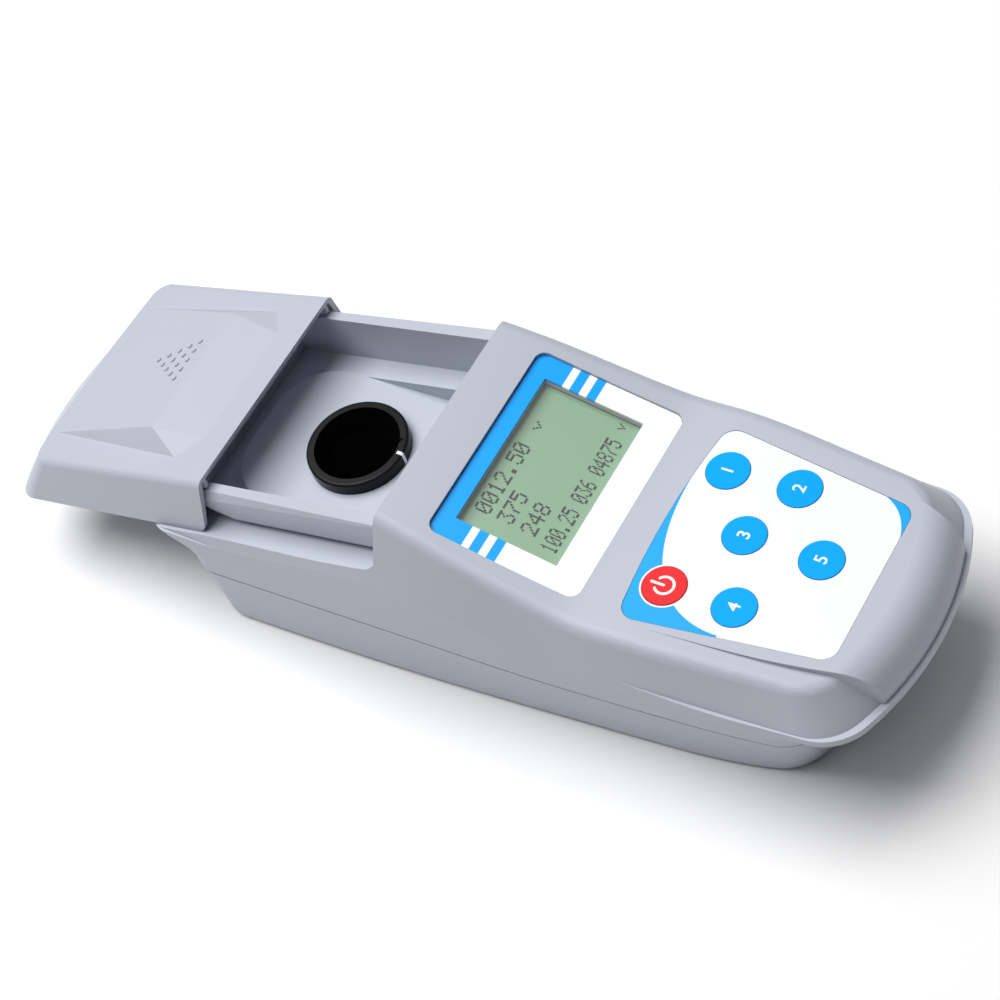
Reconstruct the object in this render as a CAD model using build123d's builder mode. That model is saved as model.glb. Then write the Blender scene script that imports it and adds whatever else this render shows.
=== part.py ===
from build123d import *
from math import cos, radians, sin, tan
import os

# Portable turbidity meter with a sliding lid, in millimetres.
# +X is the user's right, +Y points away from the user, +Z is up.
# The origin is on the flat underside of the case, halfway along it.

# Case shell
WALL = 2.4
SEAM_Z = 22.0
BAND_TOP_Z = 36.0
LOFT_TOP_Z = 74.0
SIDE_Y = (112.0, 60.0, 25.0, -20.0, -46.0, -72.0, -92.0)
BASE_HALF = (43.0, 42.7, 41.7, 39.2, 37.6, 34.8, 32.2)
SEAM_HALF = (43.2, 42.8, 42.4, 41.8, 40.6, 39.0, 37.4)
BELT_HALF = (42.5, 42.9, 43.2, 42.7, 42.6, 42.2, 40.9)
LIP_HALF = (41.5, 41.6, 41.7, 41.8, 42.3, 42.7, 41.5)
SHOULDER_LOW_HALF = (41.6, 44.6, 46.6, 42.7, 42.6, 42.4, 42.0)
SHOULDER_TOP_HALF = (31.2, 33.4, 34.2, 35.8, 34.6, 26.4, 23.2)
BASE_FRONT_Y = -96.0
BASE_REAR_Y = 98.5
SEAM_FRONT_Y = -103.0
SEAM_REAR_Y = 100.5
BAND_SECTIONS = (
    (SEAM_Z, SEAM_FRONT_Y, SEAM_REAR_Y),
    (27.0, -104.5, 101.6),
    (31.5, -106.6, 105.2),
    (34.2, -108.8, 110.6),
    (BAND_TOP_Z, -110.5, 112.8),
)
BELT_FRONT_Y = -117.8
BAND_STEP = 0.15
BELT_REAR_Y = 112.8
FRONT_BOW = 10.5
FRONT_LEAN = 0.62
REAR_BOW = 2.5
FRONT_CORNER_R = 15.0
REAR_CORNER_R = 8.0
BASE_EDGE_R = 2.0
THROAT_INSET = 1.5
LIP_Z = 35.9
LIP_H = 2.3
LIP_FRONT_Y = -118.4
RIM_T = 1.1
RIM_H = 2.0
RIM_GAP = 0.12

# Top of the case, as heights along Y
RIDGE_Y = 24.6
RIDGE_Z = 69.9
RIDGE_LEAN = 8.0
TOP_LINE = (
    (RIDGE_Y, RIDGE_Z), (0.0, 62.5), (-24.0, 55.3), (-31.0, 53.75), (-38.0, 53.35),
    (-44.0, 53.45), (-52.0, 53.15), (-75.0, 51.5), (-95.0, 49.7), (-119.0, 47.0),
)
TOP_EDGE_R = 3.6
ROOF_DROP = 4.2

# Keypad tongue
TONGUE_TILT = 2.4
TONGUE_REAR_Y = -38.0
TONGUE_REAR_Z = 53.75
TONGUE_SIDES = ((34.5, -42.0), (33.0, -54.0), (31.5, -73.0), (30.0, -87.0), (27.2, -103.0), (24.5, -113.7))
TONGUE_FRONT_Y = -117.4
TONGUE_BLEND_Y = -46.5
TONGUE_ROLL_R = 10.0

# Rails, ledge and deck
RAIL_TILT = 11.2
RAIL_TOP_Z = 65.0
RAIL_OUT_X = 35.2
RAIL_IN_X = 31.2
RAIL_FACE_H = 10.5
SLOT_H = 2.7
SLOT_DEPTH = 2.6
RAMP_Y = 82.0
RAMP_LENGTH = 15.0
RAMP_RISE = 6.0
DECK_DEPTH = 16.3
DECK_END_Y = 104.0
DECK_T = 2.4
GROOVE_CORNER_R = 5.0
CURB_X = 40.9
CURB_H = 0.8

# Pad and port for the sample vial
PORT_Y = 61.8
PAD_Z = 38.7
PAD_HALF = 24.4
PAD_FRONT_Y = 31.0
PAD_END_Y = 96.5
PAD_CORNER_R = 17.0
PAD_FLOOR_T = 2.4
BORE_R = 12.75
COLLAR_R = 15.2
COLLAR_TOP_Z = 42.9
COLLAR_EDGE_R = 0.8
SPIGOT_R = 14.4
SPIGOT_Z = 33.0
CHAMBER_R = 16.4
CHAMBER_FLOOR_Z = 6.0
CHAMBER_BASE_Z = 3.0
CHAMBER_FOOT_R = 21.0
CHAMBER_FOOT_H = 2.5
BEAM_Z = 20.0
BEAM_R = 2.2
HOLDER_OUT = 27.0
HOLDER_HALF = 6.0
POCKET_R = 3.1
NOTCHES = ((4.9, 49.8), (-4.4, 50.9), (-9.2, 54.5))

# Display, on a plane tilted towards the user
DISPLAY_TILT = 16.4
PANEL_Y = -9.65
PANEL_Z = 58.7
PANEL_HALF = 31.4
PANEL_LENGTH = 44.4
PANEL_T = 0.8
PANEL_CORNER_R = 3.0
PANEL_GAP = 0.15
WINDOW_W = 49.1
WINDOW_L = 30.05
WINDOW_OFFSET = 2.0
WINDOW_T = 0.4
BEZEL_W = 55.0
BEZEL_L = 36.0
BEZEL_T = 4.0
BEZEL_WALL = 1.0
BEZEL_LIP_T = 0.5
LCD_DEPTH = 2.9
LCD_T = 1.4
LIGHT_GUIDE_T = 1.6
LCD_BOARD_W = 58.0
LCD_BOARD_L = 41.0
LCD_BOARD_T = 1.2

# Keypad, on the top plane of the tongue
KEYPAD_REAR_Y = -44.2
KEYPAD_FRONT_Y = -101.4
KEYPAD_REAR_HALF = 32.2
KEYPAD_FRONT_HALF = 24.6
KEYPAD_BOW = 2.4
KEYPAD_CORNER_R = 4.5
KEYPAD_SINK = 0.1
FILM_T = 0.5
SPACER_T = 0.7
CIRCUIT_T = 0.3
KEY_R = 6.0
KEY_GAP = 0.15
KEY_HEAD = 0.15
KEY_TRAVEL = 0.3
DOME_R = 4.0
DOME_H = 0.3
KEYS = {
    "power_key": (-19.5, -51.4),
    "query_key": (18.9, -50.4),
    "menu_key": (20.2, -70.8),
    "switch_key": (1.9, -63.8),
    "enter_key": (-18.9, -71.3),
    "store_key": (2.0, -85.8),
}
TAIL_W = 12.0

# Sliding lid, drawn in its open position
LID_FRONT_Y = 88.4
LID_FRONT_Z = 57.7
LID_TOP_TILT = 14.15
LID_TOP_HALF = 35.8
LID_TOP_LENGTH = 72.6
LID_TOP_BOW = 1.0
LID_TOP_CORNER_R = 6.0
LID_FOOT_HALF = 39.9
LID_FOOT_REAR_HALF = 40.7
LID_FOOT_LENGTH = 78.0
LID_FOOT_BOW = 9.5
LID_FOOT_CORNER_R = 8.0
LID_SKIRT_R = 3.8
LID_WALL = 1.5
LID_GAP = 0.35
LID_EDGE_R = 2.6
LID_TRAVEL = 64.5
HOOK_LENGTH = 14.0
HOOK_IN_X = 33.4
GLIDE_X = 33.0
GLIDE_W = 1.2
GLIDE_LENGTH = 62.0
WEDGE_FOOT = (20.0, 9.9)
WEDGE_CORNER = (28.0, 16.1)
WEDGE_TAIL = (25.0, 70.0)
WEDGE_CREST = (22.0, 26.4)
WEDGE_H = 5.0
WEDGE_SINK = 0.6
WEDGE_EDGE_R = 1.2
DOT_R = 0.8
DOT_H = 0.5
DOT_ROWS = 5
DOT_PITCH = 3.6

# Power
CELL_R = 7.1
CELL_BODY_L = 49.0
CELL_NUB_R = 2.7
CELL_NUB_L = 1.0
CELL_PITCH = 14.8
CELL_X = (-1.5, -0.5, 0.5, 1.5)
CELL_Z = 9.6
BAY_HALF = 30.2
BAY_FRONT_Y = -78.0
BAY_REAR_Y = -19.0
BAY_TOP_Z = 17.2
BAY_WALL = 1.6
PLATE_T = 0.5
PLATE_W = 10.0
DIMPLE_R = 2.4
DIMPLE_H = 1.2
SPRING_R = 3.0
SPRING_WIRE_R = 0.35
SPRING_TURNS = 4
COVER_T = 2.0
COVER_GAP = 0.3
HINGE_Y = -76.4
HINGE_Z = 1.25
HINGE_R = 1.05
PIN_R = 0.6
PIN_L = 1.2
PIN_GAP = 0.06
LATCH_W = 12.0
LATCH_H = 4.2
LATCH_T = 1.2
LATCH_POCKET = 3.2

# Boards
BOARD_T = 1.6
MAIN_Z = 27.0
MAIN_HALF = 31.0
MAIN_FRONT_Y = -76.0
MAIN_REAR_Y = 8.0
MAIN_POSTS = ((27.5, -71.0), (-27.5, -71.0), (27.5, -24.0), (-27.5, -24.0))
OPTICS_Z = 9.0
OPTICS_HALF = 30.0
OPTICS_FRONT_Y = -12.0
OPTICS_REAR_Y = 26.0
OPTICS_POSTS = ((26.0, -8.0), (-26.0, -8.0), (26.0, 20.0), (-26.0, 20.0))
POST_R = 2.6
POST_BORE_R = 0.9
PCB_SCREW_HEAD_R = 2.0
PCB_SCREW_HEAD_H = 1.3
PCB_SCREW_L = 6.0

# Fixings
BOSS_R = 4.0
BOSS_TOP_Z = 47.5
BOSS_RIB_X = 30.0
BOSS_RIB_END = 40.8
SCREW_POINTS = ((33.5, 86.0), (-33.5, 86.0), (35.0, 14.0), (-35.0, 14.0), (25.0, -86.0), (-25.0, -86.0))
SCREW_R = 1.45
SCREW_HOLE_R = 1.7
SCREW_HEAD_R = 2.8
SCREW_HEAD_H = 2.2
SCREW_WELL_R = 3.1
SCREW_SEAT_Z = 12.0
SCREW_L = 15.0
INSERT_R = 2.3
INSERT_H = 6.0
FEET = ((33.0, 73.0), (-33.0, 73.0), (13.0, -87.0), (-13.0, -87.0))
FOOT_R = 3.6
FOOT_SINK = 0.9
FOOT_PROUD = 0.6

DISPLAY = Plane(
    origin=(0, PANEL_Y, PANEL_Z),
    x_dir=(1, 0, 0),
    z_dir=(0, -sin(radians(DISPLAY_TILT)), cos(radians(DISPLAY_TILT))),
)


def rail_z(y):
    """height of the rails' top at y"""
    return RAIL_TOP_Z - tan(radians(RAIL_TILT)) * (y - RIDGE_Y)


def ledge_z(y):
    """height of the ledge that the lid's skirt runs on"""
    return rail_z(y) - RAIL_FACE_H - SLOT_H


def deck_z(y):
    """height of the sloping floor between the rails"""
    return rail_z(y) - DECK_DEPTH


def ridge_y(z):
    """face of the ridge that the closed lid meets, at height z"""
    return RIDGE_Y + tan(radians(RIDGE_LEAN)) * (RIDGE_Z - z)


def lid_front_y(z):
    """front edge of the open lid at height z, leaning as the ridge does"""
    return LID_FRONT_Y + tan(radians(RIDGE_LEAN)) * (LID_FRONT_Z - z)


def tongue_z(y):
    """height of the keypad tongue at y"""
    return TONGUE_REAR_Z + tan(radians(TONGUE_TILT)) * (y - TONGUE_REAR_Y)


def mixed(low, high, share):
    """half widths part of the way from one list to another"""
    return [a + (b - a) * share for a, b in zip(low, high)]


def plan_outline(z, half_widths, front_y, rear_y, inset=0.0):
    """case outline on plane z: splined sides, bowed ends, rounded corners"""
    front, rear = front_y + inset, rear_y - inset
    inside = [(w - inset, y) for w, y in zip(half_widths, SIDE_Y) if front + FRONT_CORNER_R < y < rear - REAR_CORNER_R]
    right = [(half_widths[0] - inset, rear)] + inside + [(half_widths[-1] - inset - 0.8, front + FRONT_BOW)]
    with BuildSketch(Plane.XY.offset(z)) as outline:
        with BuildLine():
            side = Spline(right)
            other = Spline([(-x, y) for x, y in right])
            ThreePointArc(side @ 1, (0, front), other @ 1)
            ThreePointArc(side @ 0, (0, rear + REAR_BOW), other @ 0)
        make_face()
        fillet(outline.vertices().filter_by(lambda v: v.Y < 0), FRONT_CORNER_R - inset)
        fillet(outline.vertices().filter_by(lambda v: v.Y > rear - 1), REAR_CORNER_R - inset)
    return outline.sketch


def prism(points, x0, x1):
    """block from x0 to x1 with the given outline in Y and Z"""
    with BuildPart() as block:
        with BuildSketch(Plane.YZ.offset(x0)):
            Polygon(*points, align=None)
        extrude(amount=x1 - x0)
    return block.part


def both_sides(points, x0, x1):
    """the same block at x0 to x1 and mirrored to the left"""
    return [prism(points, x0, x1), prism(points, -x1, -x0)]


def box(x0, x1, y0, y1, z0, z1):
    """block between the given limits"""
    return Solid.make_box(x1 - x0, y1 - y0, z1 - z0, Plane((x0, y0, z0)))


def post(x, y, z0, z1, radius):
    """upright round block"""
    return Solid.make_cylinder(radius, z1 - z0, Plane((x, y, z0)))


def rod(x, y0, y1, z, radius):
    """round block lying along Y"""
    return Solid.make_cylinder(radius, abs(y1 - y0), Plane((x, min(y0, y1), z), z_dir=(0, 1, 0)))


def axle(x0, x1, y, z, radius):
    """round bar along X from x0 to x1"""
    return Solid.make_cylinder(radius, x1 - x0, Plane(origin=(x0, y, z), z_dir=(1, 0, 0)))


def case_base(inset, floor):
    """lower case body from the floor to the seam"""
    share = floor / SEAM_Z
    with BuildPart() as base:
        loft([
            plan_outline(
                floor, mixed(BASE_HALF, SEAM_HALF, share),
                BASE_FRONT_Y + (SEAM_FRONT_Y - BASE_FRONT_Y) * share,
                BASE_REAR_Y + (SEAM_REAR_Y - BASE_REAR_Y) * share, inset,
            ),
            plan_outline(SEAM_Z, SEAM_HALF, SEAM_FRONT_Y, SEAM_REAR_Y, inset),
        ], ruled=True)
    return base.part


def case_band(inset):
    """flared band between the seam and the overhanging upper body"""
    with BuildPart() as band:
        sections = []
        for z, front, rear in BAND_SECTIONS:
            share = (z - SEAM_Z) / (BAND_TOP_Z - SEAM_Z)
            sections.append(plan_outline(z, mixed(SEAM_HALF, BELT_HALF, share), front, rear, inset + BAND_STEP * share))
        loft(sections)
    return band.part


def shoulder_body(inset, drop, edge_r):
    """upper body under the top line, with sides that lean in above the belt crease"""
    front_top_y = BELT_FRONT_Y + (LOFT_TOP_Z - BAND_TOP_Z) * FRONT_LEAN
    with BuildPart() as body:
        loft([
            plan_outline(BAND_TOP_Z, SHOULDER_LOW_HALF, BELT_FRONT_Y, BELT_REAR_Y, inset),
            plan_outline(LOFT_TOP_Z, SHOULDER_TOP_HALF, front_top_y, BELT_REAR_Y, inset),
        ], ruled=True)
        with BuildPart(mode=Mode.PRIVATE) as belt:
            add(plan_outline(BAND_TOP_Z, BELT_HALF, BELT_FRONT_Y, BELT_REAR_Y, inset))
            extrude(amount=LOFT_TOP_Z - BAND_TOP_Z)
        add(belt.part, mode=Mode.INTERSECT)
        with BuildPart(mode=Mode.PRIVATE) as under:
            with BuildSketch(Plane.YZ):
                with BuildLine():
                    top = Spline([(y, z - drop) for y, z in TOP_LINE])
                    Polyline(top @ 1, (TOP_LINE[-1][0], 0), (130, 0), (130, RIDGE_Z - drop), top @ 0)
                make_face()
            extrude(amount=60, both=True)
        add(under.part, mode=Mode.INTERSECT)
        if edge_r:
            rim = body.edges().filter_by(lambda e: e.position_at(0.5).Z > BAND_TOP_Z + 8)
            sides = rim.filter_by(lambda e: abs(e.position_at(0.5).X) > 30 and e.position_at(0.5).Y < 20)
            front = rim.filter_by(lambda e: e.position_at(0.5).Y < BASE_FRONT_Y)
            fillet(sides + front, edge_r)
    return body.part


def keypad_shape(grow):
    """keypad outline, in plan"""
    side = (KEYPAD_REAR_HALF - KEYPAD_FRONT_HALF) / (KEYPAD_REAR_Y - KEYPAD_FRONT_Y)
    rear_half = KEYPAD_REAR_HALF + grow * (1 + side)
    front_half = KEYPAD_FRONT_HALF + grow * (1 - side)
    with BuildSketch() as shape:
        with BuildLine():
            Polyline(
                (-rear_half, KEYPAD_REAR_Y + grow), (-front_half, KEYPAD_FRONT_Y - grow),
                (front_half, KEYPAD_FRONT_Y - grow), (rear_half, KEYPAD_REAR_Y + grow),
            )
            ThreePointArc(
                (rear_half, KEYPAD_REAR_Y + grow), (0, KEYPAD_REAR_Y + KEYPAD_BOW + grow), (-rear_half, KEYPAD_REAR_Y + grow)
            )
        make_face()
        fillet(shape.vertices(), KEYPAD_CORNER_R + grow)
    return shape.sketch


def keypad_slab(shape, top, thickness):
    """slab whose top lies the given depth under the tongue's plane"""
    tongue = Plane(
        origin=(0, 0, tongue_z(0)), x_dir=(1, 0, 0), z_dir=(0, -sin(radians(TONGUE_TILT)), cos(radians(TONGUE_TILT)))
    )
    with BuildPart() as slab:
        with BuildSketch(tongue.offset(-top - thickness)):
            add(scale(shape, by=(1, 1 / cos(radians(TONGUE_TILT)), 1)))
        extrude(amount=thickness)
    return slab.part


def key_holes(radius):
    """discs at the key positions, in plan"""
    with BuildSketch() as discs:
        with Locations(*KEYS.values()):
            Circle(radius)
    return discs.sketch


def key_at(name):
    """plane on the tongue's top at a key, with its normal outwards"""
    x, y = KEYS[name]
    return Plane(
        origin=(x, y, tongue_z(y)), x_dir=(1, 0, 0), z_dir=(0, -sin(radians(TONGUE_TILT)), cos(radians(TONGUE_TILT)))
    )


def display_slab(width, length, top, thickness, offset=0.0, corner=0.0):
    """slab parallel to the display, its top the given depth under the overlay's face"""
    with BuildPart() as slab:
        with BuildSketch(DISPLAY.offset(-top - thickness)):
            with Locations((0, offset)):
                if corner:
                    RectangleRounded(width, length, corner)
                else:
                    Rectangle(width, length)
        extrude(amount=thickness)
    return slab.part


def pad_block(z0, z1, grow=0.0):
    """upright block with the pad's outline"""
    with BuildPart() as block:
        with BuildSketch(Plane.XY.offset(z0)) as outline:
            with Locations((0, (PAD_FRONT_Y + PAD_END_Y) / 2)):
                Rectangle(2 * (PAD_HALF + grow), PAD_END_Y - PAD_FRONT_Y + 2 * grow)
            fillet(outline.vertices().filter_by(lambda v: v.Y > PORT_Y), PAD_CORNER_R + grow)
        extrude(amount=z1 - z0)
    return block.part


def lid_outline(plane, half, rear_half, length, bow, corner_r, inset, reach):
    """lid outline on a sloping plane whose origin is the middle of its front edge"""
    with BuildSketch(plane) as outline:
        with BuildLine():
            Polyline(
                (-rear_half + inset, length - inset), (-half + inset, -reach),
                (half - inset, -reach), (rear_half - inset, length - inset),
            )
            ThreePointArc(
                (rear_half - inset, length - inset), (0, length - inset + bow), (-rear_half + inset, length - inset)
            )
        make_face()
        fillet(outline.vertices().filter_by(lambda v: v.Y > length / 2), corner_r - inset)
    return outline.sketch


def lid_body(inset, drop, reach):
    """lid body between its foot and its top, both sloping"""
    top_plane = Plane(
        origin=(0, LID_FRONT_Y, LID_FRONT_Z),
        x_dir=(1, 0, 0),
        z_dir=(0, sin(radians(LID_TOP_TILT)), cos(radians(LID_TOP_TILT))),
    )
    foot_y = lid_front_y(ledge_z(LID_FRONT_Y))
    foot_plane = Plane(
        origin=(0, foot_y, ledge_z(foot_y) + LID_GAP),
        x_dir=(1, 0, 0),
        z_dir=(0, sin(radians(RAIL_TILT)), cos(radians(RAIL_TILT))),
    )
    with BuildPart() as body:
        loft([
            lid_outline(
                foot_plane, LID_FOOT_HALF, LID_FOOT_REAR_HALF, LID_FOOT_LENGTH, LID_FOOT_BOW, LID_FOOT_CORNER_R,
                inset, reach,
            ),
            lid_outline(
                top_plane.offset(-drop), LID_TOP_HALF, LID_TOP_HALF, LID_TOP_LENGTH, LID_TOP_BOW, LID_TOP_CORNER_R,
                inset, reach,
            ),
        ], ruled=True)
    return body.part


def lid_wedge():
    """thumb wedge on top of the lid, highest at its crest and dying out to the rear"""
    top_plane = Plane(
        origin=(0, LID_FRONT_Y, LID_FRONT_Z),
        x_dir=(1, 0, 0),
        z_dir=(0, sin(radians(LID_TOP_TILT)), cos(radians(LID_TOP_TILT))),
    )
    (ax, ay), (bx, by), (cx, cy), (dx, dy) = WEDGE_FOOT, WEDGE_CORNER, WEDGE_TAIL, WEDGE_CREST
    foot = [(ax, ay, 0), (bx, by, 0), (cx, cy, 0), (-cx, cy, 0), (-bx, by, 0), (-ax, ay, 0)]
    a, b, c, c2, b2, a2 = [top_plane.from_local_coords(Vector(*p)) for p in foot]
    d = top_plane.from_local_coords(Vector(dx, dy, WEDGE_H))
    d2 = top_plane.from_local_coords(Vector(-dx, dy, WEDGE_H))
    rings = ((a, a2, d2, d), (a, d, b), (a2, b2, d2), (b, d, c), (b2, c2, d2), (d, d2, c2, c), (a, b, c, c2, b2, a2))
    faces = [Face(Wire.make_polygon(list(ring), close=True)) for ring in rings]
    with BuildPart() as sunk:
        with BuildSketch(top_plane.offset(-WEDGE_SINK)):
            Polygon(*[(x, y) for x, y, z in foot], align=None)
        extrude(amount=WEDGE_SINK)
    return Solid(Shell(faces)), sunk.part


def lid_dots():
    """triangle of small raised dots on the wedge"""
    slope = (WEDGE_TAIL[1] - WEDGE_CREST[1]) / WEDGE_H
    top_tilt = radians(LID_TOP_TILT)
    dots = []
    for row in range(DOT_ROWS):
        for col in range(DOT_ROWS - row):
            x = DOT_PITCH * (col - (DOT_ROWS - 1 - row) / 2) + 3.5
            s = 32.0 + row * DOT_PITCH * 0.95
            h = WEDGE_H - (s - WEDGE_CREST[1]) / slope
            y = LID_FRONT_Y + s * cos(top_tilt) + h * sin(top_tilt)
            z = LID_FRONT_Z - s * sin(top_tilt) + h * cos(top_tilt)
            dots.append(Pos(x, y, z) * Rot(-LID_TOP_TILT - 6.5, 0, 0) * Solid.make_cylinder(DOT_R, DOT_H))
            dots.append(Pos(x, y, z) * Rot(180 - LID_TOP_TILT - 6.5, 0, 0) * Solid.make_cylinder(DOT_R, DOT_H))
    return dots


# Lower case: tray with screw bosses, board posts and a battery bay open underneath
with BuildPart() as lower_case:
    add(case_base(0.0, 0.0))
    fillet(lower_case.faces().sort_by(Axis.Z)[0].edges(), BASE_EDGE_R)
    add(case_base(WALL, WALL), mode=Mode.SUBTRACT)
    with BuildPart(mode=Mode.PRIVATE) as rim:
        add(plan_outline(SEAM_Z - RIM_H, SEAM_HALF, SEAM_FRONT_Y, SEAM_REAR_Y, WALL - RIM_T))
        extrude(amount=2 * RIM_H)
        add(plan_outline(SEAM_Z - RIM_H, SEAM_HALF, SEAM_FRONT_Y, SEAM_REAR_Y, WALL))
        extrude(amount=2 * RIM_H, mode=Mode.SUBTRACT)
    add(rim.part)
    add(box(
        -BAY_HALF - BAY_WALL, BAY_HALF + BAY_WALL, BAY_FRONT_Y - BAY_WALL, BAY_REAR_Y + BAY_WALL,
        BASE_EDGE_R, BAY_TOP_Z + BAY_WALL,
    ))
    add(box(-BAY_HALF, BAY_HALF, BAY_FRONT_Y, BAY_REAR_Y, -1, BAY_TOP_Z), mode=Mode.SUBTRACT)
    pin_end = BAY_HALF - COVER_GAP + PIN_L
    add(axle(-pin_end - PIN_GAP, pin_end + PIN_GAP, HINGE_Y, HINGE_Z, PIN_R + PIN_GAP), mode=Mode.SUBTRACT)
    add(box(
        -LATCH_W / 2 - COVER_GAP - BAY_WALL, LATCH_W / 2 + COVER_GAP + BAY_WALL,
        BAY_REAR_Y, BAY_REAR_Y + LATCH_POCKET + BAY_WALL, BASE_EDGE_R, BAY_TOP_Z + BAY_WALL,
    ))
    add(box(
        -LATCH_W / 2 - COVER_GAP, LATCH_W / 2 + COVER_GAP,
        BAY_REAR_Y - 1, BAY_REAR_Y + LATCH_POCKET, -1, BAY_TOP_Z - 2,
    ), mode=Mode.SUBTRACT)
    for x, y in SCREW_POINTS:
        add(post(x, y, WALL - 0.4, SEAM_Z - RIM_GAP, BOSS_R))
    for x, y in SCREW_POINTS:
        add(post(x, y, -1, SCREW_SEAT_Z, SCREW_WELL_R), mode=Mode.SUBTRACT)
        add(post(x, y, 0, SEAM_Z + 1, SCREW_HOLE_R), mode=Mode.SUBTRACT)
    for x, y in MAIN_POSTS:
        add(post(x, y, BAY_TOP_Z + 1, MAIN_Z, POST_R))
        add(post(x, y, MAIN_Z - PCB_SCREW_L, MAIN_Z + 1, POST_BORE_R), mode=Mode.SUBTRACT)
    for x, y in OPTICS_POSTS:
        add(post(x, y, WALL - 0.4, OPTICS_Z, POST_R))
        add(post(x, y, OPTICS_Z - PCB_SCREW_L, OPTICS_Z + 1, POST_BORE_R), mode=Mode.SUBTRACT)
    for x, y in FEET:
        add(post(x, y, -1, FOOT_SINK, FOOT_R + 0.1), mode=Mode.SUBTRACT)

# Upper case: display slope, keypad tongue, rails, ledges, deck and vial pad
with BuildPart() as tongue:
    with BuildSketch(Plane.XY.offset(BAND_TOP_Z + 0.4)):
        with BuildLine():
            tongue_side = Spline(TONGUE_SIDES)
            tongue_other = Spline([(-x, y) for x, y in TONGUE_SIDES])
            ThreePointArc(tongue_side @ 1, (0, TONGUE_FRONT_Y), tongue_other @ 1)
            Line(tongue_side @ 0, tongue_other @ 0)
        make_face()
    extrude(amount=30)
    add(prism((
        (-130, tongue_z(-130)), (TONGUE_BLEND_Y, tongue_z(TONGUE_BLEND_Y)),
        (TONGUE_SIDES[0][1], tongue_z(TONGUE_BLEND_Y) - 0.05), (0, tongue_z(TONGUE_BLEND_Y) - 0.5), (0, 90), (-130, 90),
    ), -60, 60), mode=Mode.SUBTRACT)
    fillet(tongue.edges().filter_by(lambda e: e.position_at(0.5).Z > 45).sort_by(Axis.Y)[0], TONGUE_ROLL_R)

with BuildPart() as cavity:
    add(case_band(WALL))
    add(plan_outline(BAND_TOP_Z - 1, BELT_HALF, BAND_SECTIONS[-1][1], BAND_SECTIONS[-1][2], WALL + THROAT_INSET))
    extrude(amount=WALL + 1.6)
    with BuildPart(mode=Mode.PRIVATE) as upper_room:
        add(shoulder_body(WALL, ROOF_DROP, 0))
        add(box(-60, 60, -130, 130, 0, BAND_TOP_Z + WALL), mode=Mode.SUBTRACT)
    add(upper_room.part)
    roof_z = deck_z(RIDGE_Y - WALL - 3) - DECK_T
    add(prism((
        (ridge_y(roof_z) - WALL, roof_z), (130, deck_z(130) - DECK_T), (130, 90), (ridge_y(90) - WALL, 90),
    ), -60, 60), mode=Mode.SUBTRACT)
    add(pad_block(PAD_Z - PAD_FLOOR_T, 80, PAD_FLOOR_T), mode=Mode.SUBTRACT)

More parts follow.
